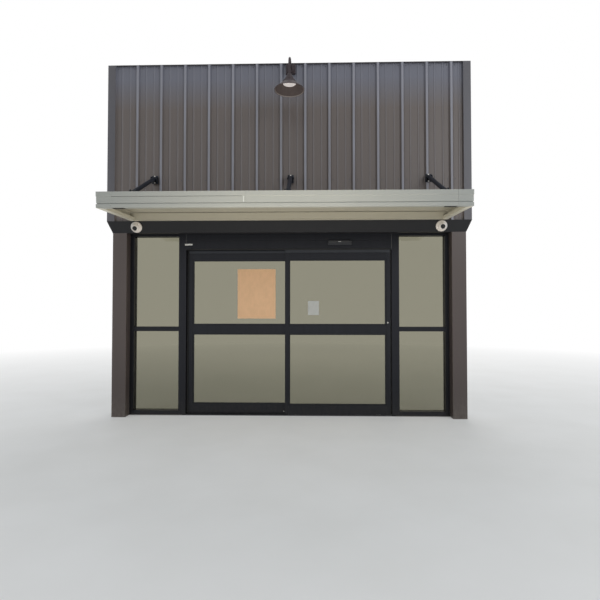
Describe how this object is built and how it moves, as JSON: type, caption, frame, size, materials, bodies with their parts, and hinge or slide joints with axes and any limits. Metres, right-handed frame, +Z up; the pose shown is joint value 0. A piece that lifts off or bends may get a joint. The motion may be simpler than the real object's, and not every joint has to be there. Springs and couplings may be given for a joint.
{
  "type": "automatic sliding entrance door with sidelites and canopy",
  "caption": "Automatic sliding entrance: one glazed leaf slides past a fixed one, with sidelites, metal piers, a ribbed wall with a lamp, and a strut-hung flat canopy.",
  "frame": {"origin": "middle of the threshold's underside, half way through the door frame's depth", "axes": "+X to the right seen from the street, +Y into the building, +Z up"},
  "size_m": [4.584, 1.3262, 4.472],
  "materials": {
    "door_metal": "satin dark bronze",
    "pier_metal": "semi-gloss coated sheet",
    "wall_metal": "coated ribbed sheet",
    "frame_steel": "primed steel",
    "strut_metal": "painted dark steel",
    "canopy_metal": "light grey coated",
    "glass": "clear",
    "seal_rubber": "matte black",
    "bright_metal": "mill finish",
    "guide_plastic": "white nylon",
    "camera_plastic": "white",
    "sensor_plastic": "dark",
    "lamp_frost": "frosted white"
  },
  "bodies": {
    "entrance": {"pier_left": "pier_metal", "pier_right": "pier_metal", "head_beam": "frame_steel", "girt_low": "frame_steel", "girt_strut": "frame_steel", "girt_top": "frame_steel", "cladding": "wall_metal", "side_trim_left": "wall_metal", "side_trim_right": "wall_metal", "wall_liner": "wall_metal", "top_closure": "frame_steel", "fascia": "pier_metal", "sidelite_frame_left": "door_metal", "sidelite_frame_right": "door_metal", "sidelite_glass_left_upper": "glass", "sidelite_glass_left_lower": "glass", "sidelite_glass_right_upper": "glass", "sidelite_glass_right_lower": "glass", "jamb_left": "door_metal", "jamb_right": "door_metal", "header": "door_metal", "header_cover": "door_metal", "track": "bright_metal", "threshold": "door_metal", "jamb_filler": "seal_rubber", "fixed_frame": "door_metal", "fixed_glass_upper": "glass", "fixed_glass_lower": "glass", "sensor_outside": "sensor_plastic", "sensor_inside": "sensor_plastic", "canopy_front": "canopy_metal", "canopy_side_left": "canopy_metal", "canopy_side_right": "canopy_metal", "canopy_ledger": "canopy_metal", "canopy_deck": "canopy_metal", "strut_left": "strut_metal", "strut_middle": "strut_metal", "strut_right": "strut_metal", "strut_wall_plates": "strut_metal", "strut_deck_plates": "strut_metal", "camera_left": "camera_plastic", "camera_right": "camera_plastic", "lamp_arm": "strut_metal", "lamp_shade": "strut_metal", "lamp_lens": "lamp_frost"},
    "sliding_leaf": {"leaf_frame": "door_metal", "leaf_glass_upper": "glass", "leaf_glass_lower": "glass", "leaf_seal": "seal_rubber", "lock_cylinder": "bright_metal", "hangers": "bright_metal", "rollers": "guide_plastic", "floor_guide": "guide_plastic"}
  },
  "joints": [
    {"name": "leaf_slide", "type": "slide", "parent": "entrance", "child": "sliding_leaf", "axis": [-1, 0, 0], "range_m": [0, 1.22]}
  ]
}
